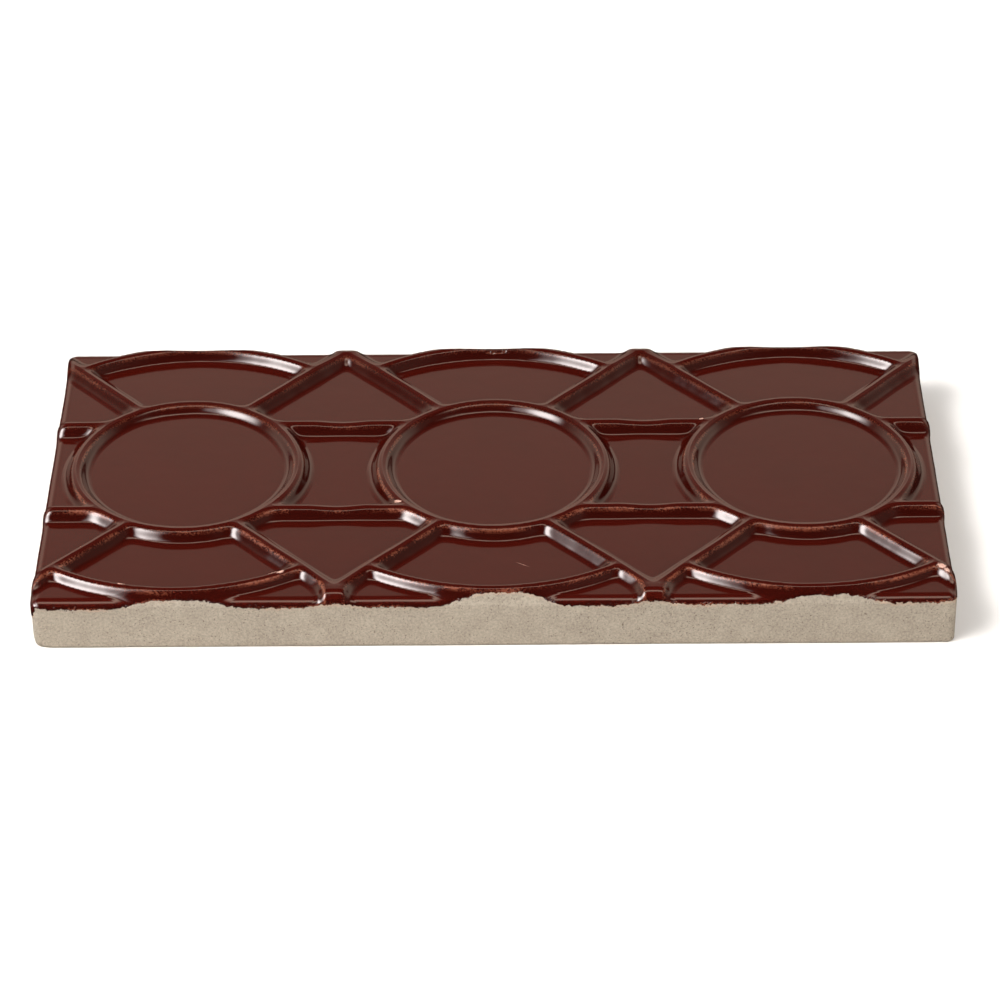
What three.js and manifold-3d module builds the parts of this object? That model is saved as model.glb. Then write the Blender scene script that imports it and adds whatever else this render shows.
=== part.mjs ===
// Ceramic accent tile: one pressed and fired slab, glazed on its face. A raised line pattern stands on
// flat panels: rings in a row, rails from ring to ring, diagonals that meet between the rings at the
// tile's long edges, and an arc above and below each ring. The tile's edges cut the pattern off.
// Millimetres, +Z up. The origin is the centre of the flat underside, X runs along the tile's length.
import * as THREE from "three";
import { mergeVertices } from "three/addons/utils/BufferGeometryUtils.js";
import Module from "manifold-3d";

// The slab
const TILE_LENGTH = 152;
const TILE_WIDTH = 76;
const PANEL_THICKNESS = 8.9; // underside to the flat panels between the ridges
const CORNER_RADIUS = 2.6; // upright corners, seen from above
const FACE_ROUND = 0.9; // edge round the glazed face
const RIDGE_END_ROUND = 1.6; // edge where the tile's sides cut the ridges off
const FOOT_ROUND = 0.4; // edge round the underside
const ROUND_STEPS = 3;
const CORNER_STEPS = 5;

// The ridges' section
const RIDGE_HEIGHT = 2.2; // above the panels
const RIDGE_BASE = 3.8; // width where it meets the panels
const RIDGE_CREST = 1.9; // width across the top, with its rounded shoulders
const SHOULDER_ROUND = 0.6;
const RIDGE_ROOT = 1.0; // depth that a ridge is set into the slab

// The pattern
const RING_PITCH = 52.3; // centre to centre, along the length
const RING_RADIUS = 19.2; // all radii are to the middle of the crest
const ARC_RADIUS = 36.2; // the arcs share the rings' centres
const RAIL_OFFSET = 12.7; // from the tile's middle line to a rail
const PEAK_OFFSET = 35.2; // from the middle line to where two diagonals meet
const DIAGONAL_SLOPE = 1.08; // rise across the tile for each millimetre along it
const RING_STEPS = 72;
const ARC_STEPS = 16;

const wasm = await Module();
wasm.setup();

// A closed three.js geometry as a solid that can be joined and cut.
function solid(geometry) {
  const bare = geometry.clone();
  bare.deleteAttribute("normal");
  bare.deleteAttribute("uv");
  const merged = mergeVertices(bare, 1e-4);
  return new wasm.Manifold(
    new wasm.Mesh({
      numProp: 3,
      vertProperties: merged.attributes.position.array,
      triVerts: new Uint32Array(merged.index.array),
    }),
  );
}

// A finished solid as a geometry with flat faces.
function geometryOf(made) {
  const mesh = made.getMesh();
  const geometry = new THREE.BufferGeometry();
  geometry.setAttribute("position", new THREE.BufferAttribute(mesh.vertProperties, 3));
  geometry.setIndex(new THREE.BufferAttribute(mesh.triVerts, 1));
  geometry.computeVertexNormals();
  return geometry;
}

// The tile's outline from above, drawn smaller by inset on every side, as a loop of points.
function outline(inset) {
  const x = TILE_LENGTH / 2 - CORNER_RADIUS;
  const y = TILE_WIDTH / 2 - CORNER_RADIUS;
  const shape = new THREE.Shape();
  shape.absarc(x, -y, CORNER_RADIUS - inset, -Math.PI / 2, 0);
  shape.absarc(x, y, CORNER_RADIUS - inset, 0, Math.PI / 2);
  shape.absarc(-x, y, CORNER_RADIUS - inset, Math.PI / 2, Math.PI);
  shape.absarc(-x, -y, CORNER_RADIUS - inset, Math.PI, 1.5 * Math.PI);
  return shape.getPoints(CORNER_STEPS);
}

// The [inset, height] pairs of an edge rounded over by a radius, from the bottom edge of a block
// at height 0 outwards and up, or with up = -1 from its top edge outwards and down.
function roundedEdge(radius, height, up) {
  return Array.from({ length: ROUND_STEPS + 1 }, (_, step) => {
    const angle = (step / ROUND_STEPS) * (Math.PI / 2);
    return [radius * (1 - Math.sin(angle)), height + up * radius * (1 - Math.cos(angle))];
  });
}

// The tile's block from the underside up to a height, its top edge rounded over by a radius.
function block(height, topRound) {
  const levels = [...roundedEdge(FOOT_ROUND, 0, 1), ...roundedEdge(topRound, height, -1).reverse()];
  const loops = levels.map(([inset]) => outline(inset));
  const count = loops[0].length;
  const positions = loops.flatMap((loop, i) => loop.flatMap((point) => [point.x, point.y, levels[i][1]]));
  const lid = THREE.ShapeUtils.triangulateShape(loops[0], []);
  const top = (loops.length - 1) * count;
  const index = lid.flatMap(([a, b, c]) => [c, b, a, top + a, top + b, top + c]);
  for (let level = 0; level < top; level += count) {
    for (let i = 0; i < count; i++) {
      const next = (i + 1) % count;
      index.push(level + i, level + next, level + count + i);
      index.push(level + next, level + count + next, level + count + i);
    }
  }
  const geometry = new THREE.BufferGeometry();
  geometry.setAttribute("position", new THREE.Float32BufferAttribute(positions, 3));
  geometry.setIndex(index);
  return solid(geometry);
}

// A ridge's section as [across, height] pairs, counterclockwise from its left root.
function ridgeSection() {
  const root = PANEL_THICKNESS - RIDGE_ROOT;
  const top = PANEL_THICKNESS + RIDGE_HEIGHT;
  const side = [
    [RIDGE_BASE / 2, root],
    [RIDGE_BASE / 2, PANEL_THICKNESS],
    [RIDGE_CREST / 2, top - SHOULDER_ROUND],
    [RIDGE_CREST / 2 - 0.3 * SHOULDER_ROUND, top - 0.3 * SHOULDER_ROUND],
    [RIDGE_CREST / 2 - SHOULDER_ROUND, top],
  ];
  const mirrored = side.map(([across, height]) => [-across, height]).reverse();
  return [...side, ...mirrored];
}

// A ridge that follows a curve lying flat at height 0. A section's x goes down and its y to the left.
function ridgeAlong(curve, steps) {
  const section = new THREE.Shape(
    ridgeSection().map(([across, height]) => new THREE.Vector2(-height, across)),
  );
  return solid(new THREE.ExtrudeGeometry(section, { steps, extrudePath: curve }));
}

// A full ring of ridge about (x, 0).
function ringRidge(x, radius) {
  const profile = ridgeSection().map(([across, height]) => new THREE.Vector2(radius + across, height));
  const geometry = new THREE.LatheGeometry([...profile, profile[0]], RING_STEPS);
  return solid(geometry.rotateX(Math.PI / 2).translate(x, 0, 0));
}

// An arc about (x, 0), from one angle to another, for a ridge to follow.
class RidgeArc extends THREE.Curve {
  constructor(x, radius, from, to) {
    super();
    Object.assign(this, { x, radius, from, to });
  }
  getPoint(t) {
    const angle = this.from + t * (this.to - this.from);
    return new THREE.Vector3(this.x + this.radius * Math.cos(angle), this.radius * Math.sin(angle), 0);
  }
}

const flat = (x, y) => new THREE.Vector3(x, y, 0);
const straightRidge = (x1, y1, x2, y2) => ridgeAlong(new THREE.LineCurve3(flat(x1, y1), flat(x2, y2)), 1);

// Where a diagonal crosses a circle about the ring's centre, measured from that centre.
function diagonalMeets(radius) {
  const atCentre = PEAK_OFFSET - (DIAGONAL_SLOPE * RING_PITCH) / 2; // the line's height above the centre
  const a = 1 + DIAGONAL_SLOPE ** 2;
  const b = 2 * DIAGONAL_SLOPE * atCentre;
  const c = atCentre ** 2 - radius ** 2;
  const x = (-b + Math.sqrt(b ** 2 - 4 * a * c)) / (2 * a);
  return { x, y: atCentre + DIAGONAL_SLOPE * x };
}

// The ridges of one ring and of its two sides, out to halfway to the next ring.
function motif(x) {
  const halfPitch = RING_PITCH / 2;
  const railStart = Math.sqrt(RING_RADIUS ** 2 - RAIL_OFFSET ** 2);
  const diagonalStart = diagonalMeets(RING_RADIUS);
  const arcEnd = diagonalMeets(ARC_RADIUS);
  const arcEdge = Math.atan2(arcEnd.y, arcEnd.x);
  const ridges = [ringRidge(x, RING_RADIUS)];
  for (const up of [-1, 1]) {
    ridges.push(ridgeAlong(new RidgeArc(x, ARC_RADIUS, up * arcEdge, up * (Math.PI - arcEdge)), ARC_STEPS));
    for (const side of [-1, 1]) {
      const peakX = x + side * halfPitch;
      ridges.push(straightRidge(x + side * railStart, up * RAIL_OFFSET, peakX, up * RAIL_OFFSET));
      ridges.push(
        straightRidge(x + side * diagonalStart.x, up * diagonalStart.y, peakX, up * PEAK_OFFSET),
      );
    }
  }
  return ridges;
}

// The short ridges from where two diagonals meet out to the tile's long edge.
function peakStubs(x) {
  const outside = TILE_WIDTH / 2 + RIDGE_BASE;
  return [-1, 1].map((up) => straightRidge(x, up * (PEAK_OFFSET - RIDGE_BASE / 2), x, up * outside));
}

function tile() {
  const columns = Math.ceil(TILE_LENGTH / 2 / RING_PITCH);
  const ridges = [];
  for (let column = -columns; column <= columns; column++) {
    ridges.push(...motif(column * RING_PITCH));
    ridges.push(...peakStubs((column + 0.5) * RING_PITCH));
  }
  const pattern = wasm.Manifold.union(ridges);
  const cutToTile = pattern.intersect(block(PANEL_THICKNESS + RIDGE_HEIGHT, RIDGE_END_ROUND));
  return block(PANEL_THICKNESS, FACE_ROUND).add(cutToTile);
}

const glazedCeramic = new THREE.MeshStandardMaterial({
  name: "glazed_ceramic",
  color: new THREE.Color(0.27, 0.11, 0.08),
  roughness: 0.12,
  metalness: 0,
});

const group = new THREE.Group();
const mesh = new THREE.Mesh(geometryOf(tile()), glazedCeramic);
mesh.name = "tile";
group.add(mesh);

export default group;
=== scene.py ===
import math

import bpy
from mathutils import Matrix, Vector


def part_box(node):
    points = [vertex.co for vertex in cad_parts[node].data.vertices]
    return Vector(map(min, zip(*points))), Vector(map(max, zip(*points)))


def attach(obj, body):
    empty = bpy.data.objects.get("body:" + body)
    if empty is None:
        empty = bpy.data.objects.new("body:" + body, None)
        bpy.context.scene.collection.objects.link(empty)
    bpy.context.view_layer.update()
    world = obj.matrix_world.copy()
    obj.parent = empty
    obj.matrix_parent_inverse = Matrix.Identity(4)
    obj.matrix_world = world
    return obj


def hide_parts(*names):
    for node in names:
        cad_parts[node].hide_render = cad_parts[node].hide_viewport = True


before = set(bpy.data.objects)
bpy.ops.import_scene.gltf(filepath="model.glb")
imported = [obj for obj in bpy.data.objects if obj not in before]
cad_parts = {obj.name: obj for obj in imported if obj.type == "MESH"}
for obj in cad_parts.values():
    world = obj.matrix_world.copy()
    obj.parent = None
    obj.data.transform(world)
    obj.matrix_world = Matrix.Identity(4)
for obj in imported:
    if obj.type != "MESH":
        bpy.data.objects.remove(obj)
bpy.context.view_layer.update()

# A glazed relief tile, lying on its flat back. Sizes are in millimetres unless a name says otherwise.
MM = 0.001
LOW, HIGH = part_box("tile")
TILE_LENGTH = (HIGH.x - LOW.x) / MM
TILE_WIDTH = (HIGH.y - LOW.y) / MM
RIDGE_TOP = HIGH.z / MM

# The face: how its ridges run, and the round section that the glaze gives them
FACE_SIZES = {
    "Ring Pitch": 52.3,
    "Ring Radius": 19.0,
    "Arc Radius": 36.2,
    "Rail Offset": 12.7,
    "Peak Offset": 35.6,
    "Peak Round": 0.6,
    "Stub Extra Width": 0.7,
    "Diagonal Slope": 1.08,
    "Joint Fillet": 2.4,
    "Arc Narrowing": 1.2,
    "Back Stretch": 0.038,
    "Hand Wobble": 0.22,
}
SECTION_SIZES = {
    "Ridge Height": 2.2,
    "Crown Radius": 2.2,
    "Wall Offset": 1.35,
    "Wall Slope": 1.9,
    "Skirt Height": 2.0,
    "Skirt Reach": 4.2,
    "Shoulder Softness": 0.8,
    "Foot Softness": 0.9,
    "Ring Floor Rise": 0.5,
    "Spandrel Rise": 0.4,
    "Back Spandrel Rise": 0.4,
}
# What the soft section and the raised floors may add to a crown, kept free below the CAD model's top
CROWN_MARGIN = 0.08
BODY_SIZES = {
    "Length": TILE_LENGTH,
    "Width": TILE_WIDTH,
    "Panel Level": RIDGE_TOP - SECTION_SIZES["Ridge Height"] - CROWN_MARGIN,
    "Corner Radius": 1.7,
    "Edge Reach": 1.4,
    "Edge Drop": 1.0,
    "Edge Bead": 0.12,
    "Worn Corner": 0.4,
    "Worn Corner Height": 2.5,
    "Ridge End Reach": 1.6,
    "Stub End Reach": 4.5,
    "Ridge End Height": 0.3,
    "Foot Round": 0.4,
    "Back Margin": 0.3,
    "Side Unevenness": 0.2,
    "Glaze Thickness": 0.14,
}
FACE_RELIEF_SIZES = {**BODY_SIZES, **FACE_SIZES, **SECTION_SIZES}
# How high the glaze's lower edge lies on the sides
GLAZE_LINE_SIZES = {
    "Line Height": 8.05,
    "Line Tilt": 0.0025,
    "Arc Rise": 2.72,
    "Arc Rise Loss": 1.03,
    "Arc Rise Shift": 1.4,
    "Arc Rise Spread": 0.9,
    "Stub Rise": 0.75,
    "Left End Drop": 2.2,
}

# How wide the steps between one part of the face and the next are
STRETCH_STEP = 16
BACK_HALF_STEP = 1
RING_FLOOR_STEP = 0.3
SPANDREL_STEP = 0.6
SPANDREL_RAMP = 2.4
STUB_STEP = 6
BEAD_INSET = 1.3

# The unevenness of hand work: how long its waves are, and how strong where no size above says so.
# The wobble across is read at another height in the noise than the wobble along.
WOBBLE_WAVE = 17.0
ACROSS_WOBBLE_AT = 40.0
FULLER_WAVE = 9.0
FULLER_SHARE = 0.16
WORN_WAVE = 12.0
WORN_SHARE = 0.05
SIDE_WAVE = 14.0
RIM_WAVE = 5.0
RIM_WAVE_DETAIL = 3.0
RIM_WAVE_HEIGHT = 0.5

# Over what stretch of the tile the glaze's lower edge rises or drops, and the wear of a corner ends
ARC_RISE_RUN = (2.6, 11.5)
STUB_RISE_REACH = 6.5
LEFT_END_RUN = (0.1, 1.3)
WORN_CORNER_RUN = (0.5, 3.5)

# The slope along which the photo sees the glaze's edge, and over what height its thickness comes in
SEEN_SLOPE = 0.68
GLAZE_STEP = (-0.15, 0.35)

# The sheet of faces that is folded down over the sides: rows of faces from the face to the back
CELL = 0.43
FLAT_ROWS = 2
EDGE_ROWS = 8
SIDE_ROWS = 13
FOOT_ROWS = 3
BACK_ROWS = 2
FOLD_ROWS = FLAT_ROWS + EDGE_ROWS + SIDE_ROWS + FOOT_ROWS + BACK_ROWS
QUARTER_TURN = math.pi / 2
NEARLY_NOTHING = 1e-6
SHORTEST_REACH = 1e-4
MERGE_DISTANCE = 1e-3


class Value:
    """A socket of a node tree used as a number: arithmetic on it adds the maths nodes."""

    def __init__(self, graph, socket):
        self.graph = graph
        self.socket = socket

    def __add__(self, other):
        return self.graph.maths("ADD", self, other)

    def __sub__(self, other):
        return self.graph.maths("SUBTRACT", self, other)

    def __rsub__(self, other):
        return self.graph.maths("SUBTRACT", other, self)

    def __mul__(self, other):
        return self.graph.maths("MULTIPLY", self, other)

    def __truediv__(self, other):
        return self.graph.maths("DIVIDE", self, other)

    def __rtruediv__(self, other):
        return self.graph.maths("DIVIDE", other, self)

    def __pow__(self, other):
        return self.graph.maths("POWER", self, other)

    def __neg__(self):
        return self * -1

    def __abs__(self):
        return self.graph.maths("ABSOLUTE", self)

    __radd__ = __add__
    __rmul__ = __mul__

    def root(self):
        return self.graph.maths("SQRT", self)

    def sin(self):
        return self.graph.maths("SINE", self)

    def cos(self):
        return self.graph.maths("COSINE", self)

    def nearest_whole(self):
        return self.graph.maths("ROUND", self)

    def at_least(self, other):
        return self.graph.maths("MAXIMUM", self, other)

    def at_most(self, other):
        return self.graph.maths("MINIMUM", self, other)

    def softly_at_least(self, other, softness):
        return self.graph.maths("SMOOTH_MAX", self, other, softness)

    def softly_at_most(self, other, softness):
        return self.graph.maths("SMOOTH_MIN", self, other, softness)

    def share(self, start, end):
        """0 up to start, 1 from end on, and straight between them."""
        inputs = {"Value": self, "From Min": start, "From Max": end}
        return self.graph.value("ShaderNodeMapRange", "Result", inputs, clamp=True)

    def smooth(self, start, end):
        """0 up to start, 1 from end on, and an S curve between them."""
        inputs = {"Value": self, "From Min": start, "From Max": end}
        return self.graph.value("ShaderNodeMapRange", "Result", inputs, interpolation_type="SMOOTHSTEP")

    def bell(self, middle, width):
        """1 at the middle, fading to 0 a width away on both sides."""
        return 1 - abs(self - middle).smooth(0, width)


class Graph:
    """A node tree that is being written, for a shape or for a material."""

    def __init__(self, tree):
        self.tree = tree

    def node(self, kind, inputs=None, **settings):
        """Adds a node of that type: its settings first, then its sockets by name or place."""
        node = self.tree.nodes.new(kind)
        for name, setting in settings.items():
            setattr(node, name, setting)
        for name, value in (inputs or {}).items():
            self.feed(node.inputs[name], value)
        return node

    def feed(self, socket, value):
        if isinstance(value, Value):
            self.tree.links.new(value.socket, socket)
        else:
            socket.default_value = value

    def value(self, kind, output, inputs=None, **settings):
        return Value(self, self.node(kind, inputs, **settings).outputs[output])

    def maths(self, operation, *values):
        return self.value("ShaderNodeMath", 0, dict(enumerate(values)), operation=operation)

    def vector(self, x=0.0, y=0.0, z=0.0):
        return self.value("ShaderNodeCombineXYZ", "Vector", {"X": x, "Y": y, "Z": z})

    def scaled(self, vector, factor):
        inputs = {"Vector": vector, "Scale": factor}
        return self.value("ShaderNodeVectorMath", "Vector", inputs, operation="SCALE")

    def parts(self, vector):
        split = self.node("ShaderNodeSeparateXYZ", {"Vector": vector})
        return [Value(self, output) for output in split.outputs]

    def noise(self, place, size, detail=2.0, roughness=0.5):
        """Uneven values about 0.5, with lumps of roughly that size in the place's own units."""
        inputs = {"Vector": place, "Scale": 1.0 / size, "Detail": detail, "Roughness": roughness}
        return self.value("ShaderNodeTexNoise", 0, inputs)

    def waves(self, place, size, detail=2.0):
        """The same uneven values, about 0."""
        return self.noise(place, size, detail) - 0.5

    def mixed(self, kind, factor, first, second):
        mix = self.node("ShaderNodeMix", data_type="RGBA" if kind == "Color" else "VECTOR")
        ports = {socket.identifier: socket for socket in mix.inputs}
        self.feed(ports["Factor_Float"], factor)
        self.feed(ports["A_" + kind], first)
        self.feed(ports["B_" + kind], second)
        (result,) = [socket for socket in mix.outputs if socket.identifier == "Result_" + kind]
        return Value(self, result)

    def mix_colour(self, factor, first, second):
        return self.mixed("Color", factor, first, second)

    def mix_vector(self, factor, first, second):
        return self.mixed("Vector", factor, first, second)

    def bumped(self, height, normal):
        """The normal with a height over it, in millimetres, that the surface itself doesn't have."""
        inputs = {"Height": height, "Distance": MM, "Strength": 1.0, "Normal": normal}
        return self.value("ShaderNodeBump", "Normal", inputs)


def length_of(x, y):
    """How long a vector with these two parts is."""
    return (x * x + y * y).root()


def new_geometry_tree(name, floats, others=(), outputs=()):
    """A geometry tree with a named number input for each size, and its inputs by name."""
    tree = bpy.data.node_groups.new(name, "GeometryNodeTree")
    for label, kind in others:
        tree.interface.new_socket(label, in_out="INPUT", socket_type=kind)
    for label, value in floats.items():
        socket = tree.interface.new_socket(label, in_out="INPUT", socket_type="NodeSocketFloat")
        socket.default_value = value
    for label, kind in outputs:
        tree.interface.new_socket(label, in_out="OUTPUT", socket_type=kind)
    graph = Graph(tree)
    source = graph.node("NodeGroupInput")
    return graph, {socket.name: Value(graph, socket) for socket in source.outputs if socket.name}


def face_pattern(graph, x, y, given):
    """A place of the face on the pattern as it was drawn: along from its ring's middle, and across."""
    wobble_x = graph.waves(graph.vector(x, y), WOBBLE_WAVE)
    wobble_y = graph.waves(graph.vector(y, x, ACROSS_WOBBLE_AT), WOBBLE_WAVE)
    x = x + wobble_x * given["Hand Wobble"] * 2
    stretch = y * y.smooth(0, STRETCH_STEP) * given["Back Stretch"]
    y = y + wobble_y * given["Hand Wobble"] * 2 - stretch
    pitch = given["Ring Pitch"]
    return abs(x - pitch * (x / pitch).nearest_whole()), abs(y)


def ridge_distance(given, along, across):
    """How far a place is from the nearest ridge's middle, and from three of the lines with a sign."""
    pitch = given["Ring Pitch"]
    out = length_of(along, across)
    inside_ring = given["Ring Radius"] - out
    rail = abs(across - given["Rail Offset"])
    slope = given["Diagonal Slope"]
    beside_peak = pitch / 2 - along
    round_beside_peak = length_of(beside_peak, given["Peak Round"])
    line_height = given["Peak Offset"] - slope * round_beside_peak
    below_line = (line_height - across) / (slope * slope + 1) ** 0.5
    outside_arc = out - given["Arc Radius"]
    arc = abs(outside_arc) * given["Arc Narrowing"]
    short_of_peak = (given["Peak Offset"] - across).at_least(0)
    beside_stub = (beside_peak - given["Stub Extra Width"]).at_least(0)
    stub = length_of(beside_stub, short_of_peak)
    fillet = given["Joint Fillet"]
    above_line = abs(below_line).softly_at_most(arc, fillet).softly_at_most(stub, fillet)
    outside_ring = above_line.at_least(below_line).softly_at_most(rail, fillet)
    nearest = outside_ring.softly_at_most(abs(inside_ring), fillet).at_least(inside_ring).at_least(0)
    return nearest, inside_ring, below_line, outside_arc


def ridge_section(given, distance):
    """A ridge's height at a distance from its middle: a low crown, a steep wall and a long soft foot."""
    crown = given["Ridge Height"] - distance * distance / (given["Crown Radius"] * 2)
    wall = given["Ridge Height"] / 2 + (given["Wall Offset"] - distance) * given["Wall Slope"]
    to_panel = (1 - distance / given["Skirt Reach"]).at_least(0)
    skirt = given["Skirt Height"] * to_panel * to_panel * to_panel
    shoulder = crown.softly_at_most(wall, given["Shoulder Softness"])
    return shoulder.softly_at_least(skirt, given["Foot Softness"])


def corner_arms(x, y, given):
    """The rectangle that the corner arcs' centres span: its nearest point, and how far out from it."""
    half_x = given["Length"] / 2 - given["Corner Radius"]
    half_y = given["Width"] / 2 - given["Corner Radius"]
    inner_x = x.at_most(half_x).at_least(-half_x)
    inner_y = y.at_most(half_y).at_least(-half_y)
    out_x = x - inner_x
    out_y = y - inner_y
    return inner_x, inner_y, out_x, out_y, length_of(out_x, out_y)


def side_hollow(graph, rim, given):
    """How far the sides lie in from the tile's full size, at each place round its rim."""
    return graph.noise(rim, SIDE_WAVE) * given["Side Unevenness"]


def floor_rise(given, inside_ring, below_line, outside_arc, y, inset):
    """How much the rings' floors, and the spandrels outside the arcs, stand over the panels."""
    ring_floor = given["Ring Floor Rise"] * inside_ring.smooth(-RING_FLOOR_STEP, RING_FLOOR_STEP)
    above_line = 1 - below_line.smooth(-SPANDREL_STEP, SPANDREL_STEP)
    in_spandrel = outside_arc.smooth(-SPANDREL_STEP, SPANDREL_STEP) * above_line
    at_back = y.smooth(-BACK_HALF_STEP, BACK_HALF_STEP)
    spandrel_rise = given["Spandrel Rise"] * inset.smooth(0, SPANDREL_RAMP).at_least(at_back)
    return ring_floor + in_spandrel * (spandrel_rise + given["Back Spandrel Rise"] * at_back)


def ridge_end(given, along, inset):
    """The share of its height that a ridge keeps as it runs out at the tile's edge."""
    at_stub = along.smooth(given["Ring Pitch"] / 2 - STUB_STEP, given["Ring Pitch"] / 2)
    end_reach = given["Ridge End Reach"] + (given["Stub End Reach"] - given["Ridge End Reach"]) * at_stub
    end = 1 - (inset / end_reach).at_most(1).at_least(0)
    return given["Ridge End Height"] + (1 - given["Ridge End Height"]) * (1 - end * end).root()


def face_relief(graph, x, y, given):
    """The glazed face at a place: its height, how far round the soft edge, and how far from a ridge."""
    radius = given["Corner Radius"]
    inner_x, inner_y, out_x, out_y, reach = corner_arms(x, y, given)
    to_rim = radius / reach.at_least(SHORTEST_REACH)
    rim = graph.vector(inner_x + out_x * to_rim, inner_y + out_y * to_rim)
    edge_reach = given["Edge Reach"] - side_hollow(graph, rim, given)
    round_edge = ((reach - radius + given["Edge Reach"]) / edge_reach).at_least(0).at_most(1)
    fall = given["Edge Drop"] * (1 - (1 - round_edge * round_edge).root())
    inset = radius - reach

    along, across = face_pattern(graph, x, y, given)
    distance, inside_ring, below_line, outside_arc = ridge_distance(given, along, across)
    fuller = graph.waves(graph.vector(x, y), FULLER_WAVE) * FULLER_SHARE
    worn = 1 - graph.noise(graph.vector(y, x), WORN_WAVE) * WORN_SHARE
    relief = ridge_section(given, distance * (1 - fuller)) * worn
    rise = floor_rise(given, inside_ring, below_line, outside_arc, y, inset)
    relief = relief * (1 - rise / given["Ridge Height"]) * ridge_end(given, along, inset)
    bead = given["Edge Bead"] * inset.bell(BEAD_INSET, BEAD_INSET)
    height = given["Panel Level"] + relief.at_least(bead) + rise - fall
    return height, round_edge, distance


def glaze_line(graph, given, x, along_side, rim):
    """How high the glaze ends: it draws back up the arcs and, a little, up the stubs.

    At the tile's left end it runs further down."""
    pitch = given["Ring Pitch"]
    column = (x / pitch).nearest_whole()
    from_ring = x - column * pitch
    off_middle = abs(from_ring - given["Arc Rise Shift"] - column * given["Arc Rise Spread"])
    drawn_up = given["Arc Rise"] - abs(column) * given["Arc Rise Loss"]
    arc_rise = drawn_up * (1 - off_middle.smooth(*ARC_RISE_RUN))
    stub_rise = given["Stub Rise"] * abs(from_ring).bell(pitch / 2, STUB_RISE_REACH)
    from_left_end = x + given["Length"] / 2
    left_end_drop = given["Left End Drop"] * (1 - from_left_end.smooth(*LEFT_END_RUN))
    unevenness = graph.waves(rim, RIM_WAVE, RIM_WAVE_DETAIL) * RIM_WAVE_HEIGHT
    level = given["Line Height"] + x * given["Line Tilt"]
    return level + (arc_rise + stub_rise) * along_side + (unevenness - left_end_drop)


def fold_shares(out_u, out_v):
    """How far each stage of the fold has gone, 0 to 1: flat, edge, side, foot and back."""
    row = abs(out_u).at_least(abs(out_v))
    starts = [0]
    for rows in (FLAT_ROWS, EDGE_ROWS, SIDE_ROWS, FOOT_ROWS, BACK_ROWS):
        starts.append(starts[-1] + rows)
    return [row.share(start, end) for start, end in zip(starts, starts[1:])]


def worn_corner(given, rim_x, rim_y, height):
    """How much is worn off the foot of the front left corner."""
    from_corner = length_of(rim_x + given["Length"] / 2, rim_y + given["Width"] / 2)
    low_down = (1 - height / given["Worn Corner Height"]).at_least(0)
    return given["Worn Corner"] * low_down * low_down * (1 - from_corner.smooth(*WORN_CORNER_RUN))


def folded_sheet(graph, given):
    """A sheet of faces that takes the face's relief and folds down over the sides and under the tile."""
    # The sheet lies on a plan where one face is one unit. Its middle is the face inside the corner
    # arcs' centres, and its border is the fold.
    faces_x = given["Faces Along"] + 2 * FOLD_ROWS
    faces_y = given["Faces Across"] + 2 * FOLD_ROWS
    inputs = {"Size X": faces_x, "Size Y": faces_y, "Vertices X": faces_x + 1, "Vertices Y": faces_y + 1}
    sheet = graph.value("GeometryNodeMeshGrid", "Mesh", inputs)
    u, v, _ = graph.parts(graph.value("GeometryNodeInputPosition", "Position"))
    middle_u = u.at_most(given["Faces Along"] / 2).at_least(given["Faces Along"] / -2)
    middle_v = v.at_most(given["Faces Across"] / 2).at_least(given["Faces Across"] / -2)
    out_u = u - middle_u
    out_v = v - middle_v
    out_length = length_of(out_u, out_v).at_least(NEARLY_NOTHING)
    out_x = out_u / out_length
    out_y = out_v / out_length
    flat, edge, side, foot, back = fold_shares(out_u, out_v)
    edge_turn = edge * QUARTER_TURN
    foot_turn = foot * QUARTER_TURN

    # Plan position, from the outline inwards and round the corners
    radius = given["Corner Radius"]
    inner_x = middle_u / given["Faces Along"] * (given["Length"] - radius * 2)
    inner_y = middle_v / given["Faces Across"] * (given["Width"] - radius * 2)
    rim_x = inner_x + out_x * radius
    rim_y = inner_y + out_y * radius
    rim = graph.vector(rim_x, rim_y)
    edge_reach = given["Edge Reach"]
    hollow = side_hollow(graph, rim, given) * edge_turn.sin()
    face_reach = flat * (radius - edge_reach) + edge_reach * edge_turn.sin() - hollow
    face_x = inner_x + out_x * face_reach
    face_y = inner_y + out_y * face_reach
    inset = radius - face_reach

    # The face, and how the sides run down from it to the back
    top, _, _ = face_relief(graph, face_x, face_y, given)
    height = top - (top - given["Foot Round"]) * side - given["Foot Round"] * foot_turn.sin()

    # The glaze's lower edge, seen from a little above, and the glaze's own thickness over the clay
    above_line = height + inset * SEEN_SLOPE - glaze_line(graph, given, face_x, abs(out_y), rim)
    bare = 1 - above_line.smooth(*GLAZE_STEP)
    reach = face_reach - bare * given["Glaze Thickness"] - given["Foot Round"] * (1 - foot_turn.cos())
    reach = reach - worn_corner(given, rim_x, rim_y, height) - back * given["Back Margin"]
    place = graph.vector(inner_x + out_x * reach, inner_y + out_y * reach, height)
    inputs = {"Geometry": sheet, "Name": "above_glaze_line", "Value": above_line}
    marked = graph.value("GeometryNodeStoreNamedAttribute", "Geometry", inputs, data_type="FLOAT")
    inputs = {"Geometry": marked, "Position": graph.scaled(place, MM)}
    return graph.value("GeometryNodeSetPosition", "Geometry", inputs)


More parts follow.
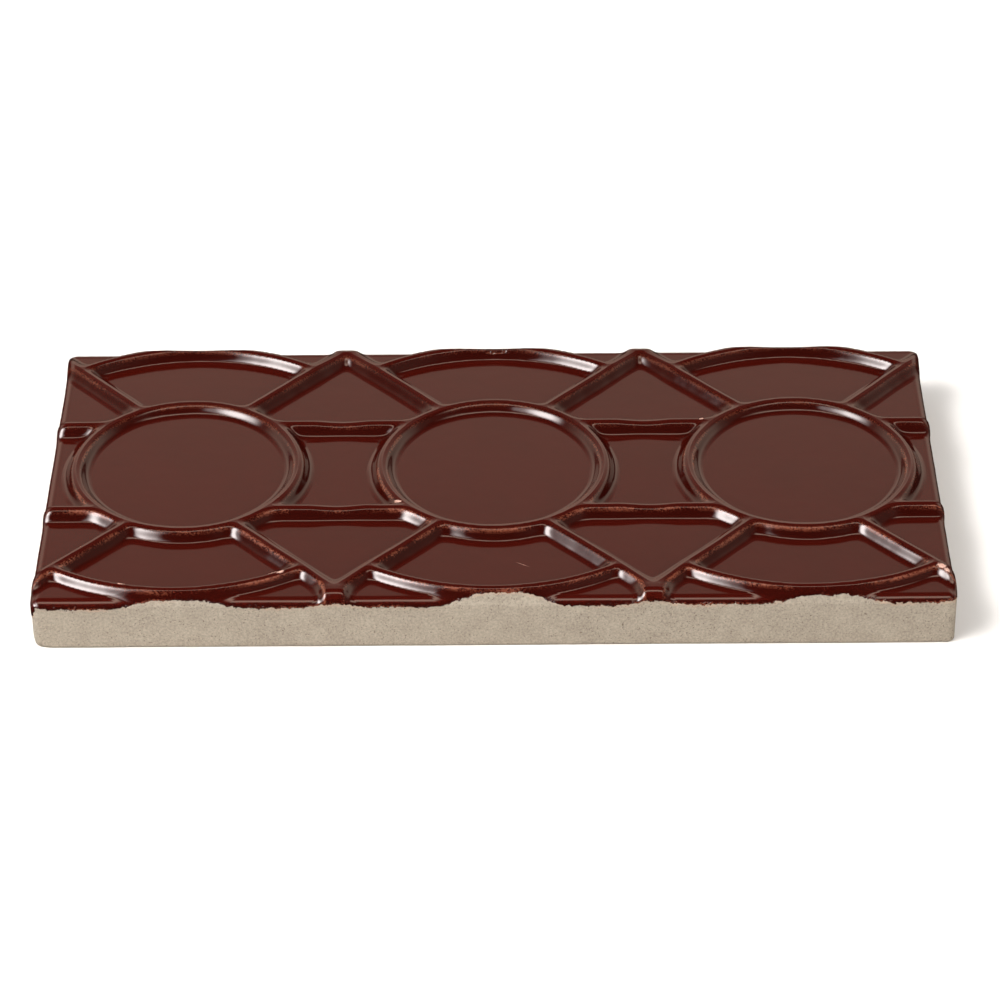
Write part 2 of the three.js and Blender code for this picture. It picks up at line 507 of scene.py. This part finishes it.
def closed_by_back(graph, shape):
    """The folded sheet with its opening closed by the tile's flat back."""
    neighbours = graph.value("GeometryNodeInputMeshEdgeNeighbors", "Face Count")
    settings = {"data_type": "FLOAT", "operation": "LESS_THAN"}
    open_edge = graph.value("FunctionNodeCompare", "Result", {0: neighbours, 1: 1.5}, **settings)
    border = graph.value("GeometryNodeMeshToCurve", "Curve", {"Mesh": shape, "Selection": open_edge})
    fill = graph.value("GeometryNodeFillCurve", "Mesh", {"Curve": border})
    fill = graph.value("GeometryNodeFlipFaces", "Mesh", {"Mesh": fill})
    fill = graph.value("GeometryNodeSetShadeSmooth", "Geometry", {"Geometry": fill, "Shade Smooth": False})
    shape = graph.value("GeometryNodeSetShadeSmooth", "Geometry", {"Geometry": shape, "Shade Smooth": True})
    joined = graph.node("GeometryNodeJoinGeometry")
    for piece in (fill, shape):
        graph.tree.links.new(piece.socket, joined.inputs["Geometry"])
    inputs = {"Geometry": Value(graph, joined.outputs["Geometry"]), "Distance": MERGE_DISTANCE * MM}
    return graph.value("GeometryNodeMergeByDistance", "Geometry", inputs)


def tile_tree(material):
    """The whole tile: the folded sheet, closed by its back, in the tile's material."""
    sizes = {**FACE_RELIEF_SIZES, **GLAZE_LINE_SIZES}
    shape_in_and_out = [("Geometry", "NodeSocketGeometry")]
    counts = [("Faces Along", "NodeSocketInt"), ("Faces Across", "NodeSocketInt")]
    graph, given = new_geometry_tree("Relief tile", sizes, shape_in_and_out + counts, shape_in_and_out)
    whole = closed_by_back(graph, folded_sheet(graph, given))
    whole = graph.value("GeometryNodeRealizeInstances", "Geometry", {"Geometry": whole})
    whole = graph.value("GeometryNodeSetMaterial", "Geometry", {"Geometry": whole, "Material": material})
    graph.node("NodeGroupOutput", {"Geometry": whole})
    return graph.tree


def shaped_tile(material):
    """The tile as one plain mesh."""
    tree = tile_tree(material)
    maker = bpy.data.objects.new("tile_maker", bpy.data.meshes.new("tile_maker"))
    bpy.context.scene.collection.objects.link(maker)
    modifier = maker.modifiers.new("Relief tile", "NODES")
    modifier.node_group = tree
    counts = {
        "Faces Along": round((TILE_LENGTH - 2 * BODY_SIZES["Corner Radius"]) / CELL),
        "Faces Across": round((TILE_WIDTH - 2 * BODY_SIZES["Corner Radius"]) / CELL),
    }
    sizes = {**FACE_RELIEF_SIZES, **GLAZE_LINE_SIZES, **counts}
    for item in tree.interface.items_tree:
        if item.in_out == "INPUT" and item.name in sizes:
            modifier[item.identifier] = sizes[item.name]
    graph = bpy.context.evaluated_depsgraph_get()
    mesh = bpy.data.meshes.new_from_object(maker.evaluated_get(graph))
    bpy.data.objects.remove(maker)
    mesh.name = "glazed_tile"
    tile = bpy.data.objects.new("glazed_tile", mesh)
    bpy.context.scene.collection.objects.link(tile)
    return tile


def linear(red, green, blue):
    """A colour read off a screen, 0 to 255 a channel, as the light it stands for."""
    channels = [channel / 255 for channel in (red, green, blue)]
    return (*[c / 12.92 if c <= 0.04045 else ((c + 0.055) / 1.055) ** 2.4 for c in channels], 1.0)


# Small faults in the glaze: where they lie, their half length and half width, and their turn in degrees
CHIPS = [
    (-60.9, -34.7, 0.8, 0.35, -4),
    (-36.3, -31.7, 0.9, 0.5, 25),
    (-35.1, -31.8, 0.7, 0.4, 30),
    (73.6, -31.2, 0.9, 0.5, -40),
    (74.4, -32.1, 0.6, 0.45, -30),
    (-16.2, -11.3, 0.7, 0.4, -25),
    (36.2, 13.5, 0.5, 0.4, 50),
]
SCRATCH = (4.8, -27.3, 1.5, 0.07, -32)
CHIP_RAGGEDNESS = 1.6
CHIP_RIM = (0.6, 1.0)
SCRATCH_RIM = (0.4, 1.0)

# The surface's noises: how large their lumps are, their detail and their roughness
CLOUD = (6.0, 3.0)
LUMP = (0.9, 3.0, 0.6)
GRAIN = (0.35, 3.0, 0.65)
STRETCH = (8.0, 2.0)
SPECK = (0.3, 1.0)
PIT = (0.9, 1.0)
STAIN = (2.6, 4.0, 0.6)
SAND = (0.42, 3.0, 0.7)
RIPPLE = (2.4, 2.0)
DRAG = (0.9, 3.0, 0.6)
DRAG_ALONG = 0.25
DRAG_DOWN = 2.2
CLAY_GRIT = (0.3, 4.0, 0.7)

# Between which noise values each mark comes in
CLOUDED = (0.35, 0.70)
GRAINY = (0.35, 0.65)
GRAINY_RIM = (0.35, 0.60)
IN_STRETCH = (0.38, 0.62)
BROKEN_UP = (0.58, 0.74)
SPECKLED = (0.66, 0.70)
PITTED = (0.77, 0.79)
STAINED = (0.3, 0.7)
SANDY = (0.32, 0.68)
FLUSHED = (0.4, 0.6)

# How far from a ridge's middle its wall begins and ends, which bounds the painted shade on it, and where
# its shoulder lies and how wide it is
WALL_STARTS = (0.3, 0.9)
WALL_ENDS = (1.6, 2.6)
SHOULDER = (0.85, 0.42)

# How far inside the glaze's ragged edge, or outside it below 0, each change lies
LUMPY_EDGE = 1.8
GRAINY_EDGE = 0.5
GLAZE_EDGE = (-0.03, 0.05)
# How far inside the glaze's edge its rim is darkened with painted shade
SHADED_RIM = (0.5, 1.3)
RUSTY_RIM = (0.22, 0.35)
FLUSH_OUTSIDE = (0.1, 0.55)
THICKER_INSIDE = (-0.1, 0.5)

# Where the face gives way to the sides: how far round the soft edge, and how high up
ROUND_TO_SIDE = (0.72, 0.92)
SIDE_TO_FACE = (5.0, 6.0)

# Where the rust thins out towards the back, and up to what height the foot is darkened with painted contact
# shade
FRONT_TO_BACK = (-14, 14)
SHADED_FOOT = (0.1, 0.7)

# How much of its colour each mark gives
CLOUD_SHARE = 0.4
WALL_SHADE_SHARE = 0.8
SCRATCH_SHARE = 0.5
STAIN_SHARE = 0.3
SAND_SHARE = 0.7
FLUSH_SHARE = 0.55
SPECK_SHARE = 0.6
PIT_SHARE = 0.7
FOOT_SHADE_SHARE = 0.25
BACK_RUST_LOSS = 0.6

# How high or deep each mark is, in millimetres
RIM_HEIGHT = 0.1
RIPPLE_HEIGHT = 0.010
CHIP_HEIGHT = 0.2
SCRATCH_DEPTH = 0.02
GRIT_HEIGHT = 0.06
DRAG_HEIGHT = 0.04
SPECK_DEPTH = 0.04
PIT_DEPTH = 0.12

# How rough the gloss is, what rust and chips add to that, and how rough the clay is
GLOSS_ROUGHNESS = 0.10
RUST_ROUGHNESS = 0.12
CHIP_ROUGHNESS = 0.3
CLAY_ROUGHNESS = 0.9

OBJECT_TO_WORLD = {"vector_type": "NORMAL", "convert_from": "OBJECT", "convert_to": "WORLD"}


def oval(graph, x, y, spot):
    """How far a place lies from a small turned oval's middle, where 1 is its edge."""
    middle_x, middle_y, half_length, half_width, turn = spot
    cos, sin = math.cos(math.radians(turn)), math.sin(math.radians(turn))
    x = x - middle_x
    y = y - middle_y
    along = (x * cos + y * sin) / half_length
    across = (y * cos - x * sin) / half_width
    return length_of(along, across)


def fine_normal(graph, face, round_edge, z):
    """The way the surface faces: on the face by the relief's own rule, finer than the mesh's faces are."""
    up = graph.value("ShaderNodeVectorTransform", "Vector", {"Vector": (0, 0, 1)}, **OBJECT_TO_WORLD)
    by_rule = graph.bumped(face, up)
    by_mesh = graph.value("ShaderNodeNewGeometry", "Normal")
    on_face = (1 - round_edge.smooth(*ROUND_TO_SIDE)) * z.smooth(*SIDE_TO_FACE)
    return graph.mix_vector(on_face, by_mesh, by_rule)


def chipped_places(graph, x, y, lump, grain):
    """1 inside each chip, whose outline the noise makes ragged."""
    raggedness = (lump + grain - 1.0) * CHIP_RAGGEDNESS
    chipped = 0.0
    for spot in CHIPS:
        chipped = (1 - (oval(graph, x, y, spot) + raggedness).smooth(*CHIP_RIM)).at_least(chipped)
    return chipped


def rusty_places(graph, place, y, from_ridge, glaze_depth, cloud, grain):
    """1 where the glaze is thin and rusty: in stretches of the ridges' shoulders and of its own rim."""
    in_stretch = graph.noise(place, *STRETCH).smooth(*IN_STRETCH)
    broken = (grain * 0.7 + cloud * 0.5 + in_stretch * 0.12).smooth(*BROKEN_UP)
    towards_front = 1 - y.smooth(*FRONT_TO_BACK) * BACK_RUST_LOSS
    on_shoulder = from_ridge.bell(*SHOULDER) * broken * (0.25 + in_stretch * 0.7) * towards_front
    at_rim = glaze_depth.bell(*RUSTY_RIM) * (in_stretch * grain.smooth(*GRAINY_RIM))
    return on_shoulder.at_least(at_rim)


def glaze_colour(graph, from_ridge, glaze_depth, cloud, grain, rusty, nicked):
    """Deep red brown; darker on the ridges' walls and at its rim, which is painted shade and partly glaze
    lying thicker there; rusty where thin, pale where nicked.
    """
    body = graph.mix_colour(cloud.smooth(*CLOUDED) * CLOUD_SHARE, linear(60, 10, 5), linear(54, 9, 4))
    # The dark red of painted shade on the walls and at the rim, partly glaze lying thicker there
    dark = linear(44, 6, 3)
    rust = graph.mix_colour(grain.smooth(*GRAINY), linear(84, 30, 16), linear(130, 72, 52))
    pale = linear(214, 168, 150)
    # Painted shade: the ridges' walls and feet are darkened, partly for glaze pooled thicker there
    wall_shade_and_pool = from_ridge.smooth(*WALL_STARTS) * (1 - from_ridge.smooth(*WALL_ENDS))
    # Painted shade under the glaze's rolled lower edge, partly the thicker glaze of that edge
    rim_shade_and_thick_glaze = 1 - glaze_depth.smooth(*SHADED_RIM)
    glaze = graph.mix_colour((wall_shade_and_pool * WALL_SHADE_SHARE).at_least(rim_shade_and_thick_glaze), body, dark)
    glaze = graph.mix_colour(rusty, glaze, rust)
    return graph.mix_colour(nicked, glaze, pale)


def clay_colour(graph, place, z, glaze_depth, cloud, speck, pit):
    """Grey beige and sandy, with fine dark specks and pits, peach coloured close to the glaze, and darkened
    along its foot with painted contact shade.
    """
    peach = linear(176, 146, 122)
    dark_speck = linear(84, 66, 52)
    # The dark of painted contact shade along the foot
    foot_shade = linear(110, 98, 80)
    stain = graph.noise(place, *STAIN).smooth(*STAINED)
    sandy = stain * STAIN_SHARE + graph.noise(place, *SAND).smooth(*SANDY) * SAND_SHARE
    clay = graph.mix_colour(sandy, linear(131, 120, 106), linear(162, 151, 134))
    flush = (1 - (-glaze_depth).smooth(*FLUSH_OUTSIDE)) * cloud.smooth(*FLUSHED)
    clay = graph.mix_colour(flush * FLUSH_SHARE, clay, peach)
    clay = graph.mix_colour((speck * SPECK_SHARE).at_least(pit * PIT_SHARE), clay, dark_speck)
    # Painted contact shade: the clay is darkened towards the floor
    return graph.mix_colour((1 - z.smooth(*SHADED_FOOT)) * FOOT_SHADE_SHARE, clay, foot_shade)


def glaze_over_clay():
    """Gloss glaze on the face, ending in a ragged line on the sides, and bare clay below it."""
    material = bpy.data.materials.new("glaze_over_clay")
    material.use_nodes = True
    material.node_tree.nodes.clear()
    graph = Graph(material.node_tree)
    place = graph.scaled(graph.value("ShaderNodeTexCoord", "Object"), 1 / MM)
    x, y, z = graph.parts(place)
    face, round_edge, from_ridge = face_relief(graph, x, y, FACE_RELIEF_SIZES)
    above_line = graph.value("ShaderNodeAttribute", "Fac", attribute_name="above_glaze_line")
    cloud = graph.noise(place, *CLOUD)
    lump = graph.noise(place, *LUMP)
    grain = graph.noise(place, *GRAIN)
    speck = graph.noise(place, *SPECK).smooth(*SPECKLED)
    pit = graph.noise(place, *PIT).smooth(*PITTED)

    # Where the glaze ends, and where it is chipped, scratched or rusty
    glaze_depth = above_line + ((lump - 0.5) * LUMPY_EDGE + (grain - 0.5) * GRAINY_EDGE)
    glazed = glaze_depth.smooth(*GLAZE_EDGE)
    chipped = chipped_places(graph, x, y, lump, grain)
    scratched = 1 - oval(graph, x, y, SCRATCH).smooth(*SCRATCH_RIM)
    nicked = chipped.at_least(scratched * SCRATCH_SHARE)
    rusty = rusty_places(graph, place, y, from_ridge, glaze_depth, cloud, grain)

    glaze = glaze_colour(graph, from_ridge, glaze_depth, cloud, grain, rusty, nicked)
    clay = clay_colour(graph, place, z, glaze_depth, cloud, speck, pit)
    glaze_roughness = GLOSS_ROUGHNESS + rusty * RUST_ROUGHNESS + chipped * CHIP_ROUGHNESS

    # What stands up and what is sunk
    ripple = graph.noise(place, *RIPPLE)
    glaze_height = glaze_depth.smooth(*THICKER_INSIDE) * RIM_HEIGHT + ripple * RIPPLE_HEIGHT
    glaze_height = glaze_height + chipped * grain * CHIP_HEIGHT - scratched * SCRATCH_DEPTH
    dragged = graph.noise(graph.vector(x * DRAG_ALONG, y * DRAG_ALONG, z * DRAG_DOWN), *DRAG)
    clay_height = graph.noise(place, *CLAY_GRIT) * GRIT_HEIGHT + dragged * DRAG_HEIGHT
    clay_height = clay_height - speck * SPECK_DEPTH - pit * PIT_DEPTH
    height = glaze_height * glazed + clay_height * (1 - glazed)
    normal = graph.bumped(height, fine_normal(graph, face, round_edge, z))

    surface = graph.node("ShaderNodeBsdfPrincipled")
    graph.feed(surface.inputs["Base Color"], graph.mix_colour(glazed, clay, glaze))
    graph.feed(surface.inputs["Roughness"], glaze_roughness * glazed + CLAY_ROUGHNESS * (1 - glazed))
    graph.feed(surface.inputs["Normal"], normal)
    surface.inputs["IOR"].default_value = 1.52
    output = graph.node("ShaderNodeOutputMaterial")
    graph.tree.links.new(surface.outputs["BSDF"], output.inputs["Surface"])
    return material


def plain_material(name, colour, roughness):
    material = bpy.data.materials.new(name)
    material.use_nodes = True
    surface = material.node_tree.nodes["Principled BSDF"]
    surface.inputs["Base Color"].default_value = colour
    surface.inputs["Roughness"].default_value = roughness
    surface.inputs["Specular IOR Level"].default_value = 0.2
    return material


def pale_floor():
    """A wide plain floor, a hair above the tile's back, so that the two don't lie in one plane."""
    half = 4.0
    level = 0.02 * MM
    corners = [(-half, -half, level), (half, -half, level), (half, half, level), (-half, half, level)]
    mesh = bpy.data.meshes.new("floor")
    mesh.from_pydata(corners, [], [(0, 1, 2, 3)])
    mesh.materials.append(plain_material("pale_floor", (0.93, 0.89, 0.85, 1.0), 0.9))
    floor = bpy.data.objects.new("floor", mesh)
    floor.visible_glossy = False
    bpy.context.scene.collection.objects.link(floor)
    return floor


# How a softbox fades: the width of the fade round its core, and where its rim begins and ends
SOFTBOX_FADE = 0.65
SOFTBOX_RIM = (0.7, 1.0)


def softbox(name, away, turn, rise, width, height, middle_glow, outer_glow, core=0.75):
    """A soft light some metres from the tile, turned round from +X and raised, in degrees.

    It is brightest in its middle, up to the core's share of its half size, and fades out at its rim,
    as cloth in front of a lamp does."""
    light = bpy.data.lights.new(name, "AREA")
    light.shape = "RECTANGLE"
    light.size = width
    light.size_y = height
    light.energy = math.pi * width * height
    light.use_nodes = True
    light.node_tree.nodes.clear()
    graph = Graph(light.node_tree)
    across, up, _ = graph.parts(graph.value("ShaderNodeNewGeometry", "Parametric"))
    across = abs(across - 0.5) * 2
    up = abs(up - 0.5) * 2
    middle = 1 - length_of(across, up).smooth(core - SOFTBOX_FADE, core)
    rim = (1 - across.smooth(*SOFTBOX_RIM)) * (1 - up.smooth(*SOFTBOX_RIM))
    strength = (middle * (middle_glow - outer_glow) + outer_glow) * rim
    emission = graph.node("ShaderNodeEmission", {"Strength": strength})
    output = graph.node("ShaderNodeOutputLight")
    graph.tree.links.new(emission.outputs["Emission"], output.inputs["Surface"])
    lamp = bpy.data.objects.new(name, light)
    turn = math.radians(turn)
    rise = math.radians(rise)
    to_light = Vector((math.cos(turn) * math.cos(rise), math.sin(turn) * math.cos(rise), math.sin(rise)))
    lamp.location = to_light * away
    lamp.rotation_euler = to_light.to_track_quat("Z", "Y").to_euler()
    lamp.visible_camera = False
    bpy.context.scene.collection.objects.link(lamp)
    return lamp


def room():
    """An even soft fill, and what the gloss mirrors: a pale backdrop behind, dark all round it."""
    fill = 0.52
    dark = 0.02
    backdrop_glow = 0.87
    backdrop_top = 0.40
    backdrop_fade = 2.53
    beside_glow = 0.15
    strip_glow = 3.5
    mirrored_tint = (1.24, 0.97, 0.77, 1)

    world = bpy.data.worlds.new("studio")
    bpy.context.scene.world = world
    world.use_nodes = True
    world.node_tree.nodes.clear()
    graph = Graph(world.node_tree)
    x, y, z = graph.parts(graph.value("ShaderNodeTexCoord", "Generated"))
    behind = y.smooth(-0.1, 0.35)
    above_backdrop = z.at_least(backdrop_top) - backdrop_top
    backdrop = (backdrop_glow - above_backdrop * backdrop_fade).softly_at_least(0, 0.4)
    backdrop = backdrop * (0.5 + z.smooth(0.0, 0.35) * 0.5)
    beside = x.smooth(0.2, 0.8) * (1 - behind) * (1 - z.smooth(0.4, 0.7))
    strip = y.bell(-0.35, 0.2) * z.smooth(0.6, 0.9)
    above_floor = z.smooth(-0.06, 0.02)
    mirrored = dark + above_floor * (behind * backdrop + beside * beside_glow) + strip * strip_glow
    rays = graph.node("ShaderNodeLightPath")
    plain = Value(graph, rays.outputs["Is Camera Ray"])
    gloss = Value(graph, rays.outputs["Is Glossy Ray"])
    strength = fill + gloss * (mirrored - fill)
    strength = strength + plain * (1 - strength)
    colour = graph.mix_colour(gloss, (1, 1, 1, 1), mirrored_tint)
    background = graph.node("ShaderNodeBackground", {"Color": colour, "Strength": strength})
    output = graph.node("ShaderNodeOutputWorld")
    graph.tree.links.new(background.outputs["Background"], output.inputs["Surface"])


def lamps():
    """Two lamps that light the colours, and a card that only the gloss mirrors."""
    key_size = {"width": 0.93, "height": 0.66, "middle_glow": 24.0, "outer_glow": 4.0}
    fill_size = {"width": 1.4, "height": 1.0, "middle_glow": 3.1, "outer_glow": 3.1}
    shine_size = {"width": 0.85, "height": 0.62, "middle_glow": 22.0, "outer_glow": 3.0, "core": 0.85}
    key_light = softbox("key_light", away=1.0, turn=-152, rise=50, **key_size)
    fill_card = softbox("fill_card", away=1.6, turn=-46, rise=32, **fill_size)
    shine_card = softbox("shine_card", away=0.75, turn=-148, rise=30, **shine_size)
    key_light.visible_glossy = False
    fill_card.visible_glossy = False
    shine_card.visible_diffuse = False
    shine_card.data.color = (1.0, 0.94, 0.92)


def viewpoint():
    """The camera where the photograph was taken from."""
    place = Vector((1.6, -555.1, 381.5)) * MM
    turn_left, look_down, lean = math.radians(0.055), math.radians(34.27), math.radians(-0.402)
    focal_pixels = 3906
    photo_pixels = 1000
    lens = bpy.data.cameras.new("view")
    lens.sensor_width = 36.0
    lens.lens = lens.sensor_width * focal_pixels / photo_pixels
    lens.clip_start = 0.05
    lens.clip_end = 50.0
    camera = bpy.data.objects.new("view", lens)
    bpy.context.scene.collection.objects.link(camera)
    pan = Matrix.Rotation(turn_left, 4, "Z")
    tilt = Matrix.Rotation(math.pi / 2 - look_down, 4, "X")
    roll = Matrix.Rotation(lean, 4, "Z")
    camera.matrix_world = Matrix.Translation(place) @ pan @ tilt @ roll
    bpy.context.scene.camera = camera


viewpoint()
room()
lamps()
floor = pale_floor()
tile = shaped_tile(glaze_over_clay())
bpy.context.scene.view_settings.view_transform = "Standard"

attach(tile, "root")
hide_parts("tile")
